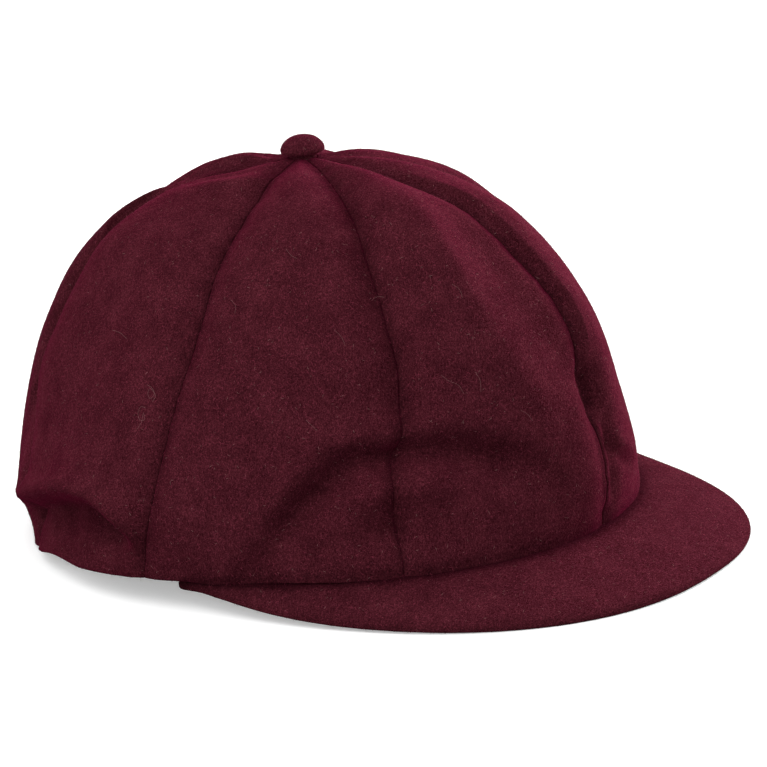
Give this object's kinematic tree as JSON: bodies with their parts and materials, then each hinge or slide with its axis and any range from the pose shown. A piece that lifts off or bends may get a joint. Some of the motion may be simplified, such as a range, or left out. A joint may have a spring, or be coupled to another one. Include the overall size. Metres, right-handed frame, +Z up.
{
  "type": "cricket cap",
  "caption": "Soft felt cricket cap: a puffed crown of seamed panels with a covered button on top and a short curved peak.",
  "frame": {"origin": "middle of the cap's box in plan, on the surface that it rests on", "axes": "+Z up, +Y from the peak towards the back of the cap, +X towards the wearer's left"},
  "size_m": [0.1886, 0.2392, 0.1229],
  "materials": {
    "felt": "matte brushed wool felt"
  },
  "bodies": {
    "root": {"crown_panel_front_right": "felt", "crown_panel_side_right_front": "felt", "crown_panel_side_right_back": "felt", "crown_panel_back_right": "felt", "crown_panel_back_left": "felt", "crown_panel_side_left_back": "felt", "crown_panel_side_left_front": "felt", "crown_panel_front_left": "felt", "peak": "felt", "crown_button": "felt"}
  },
  "joints": []
}
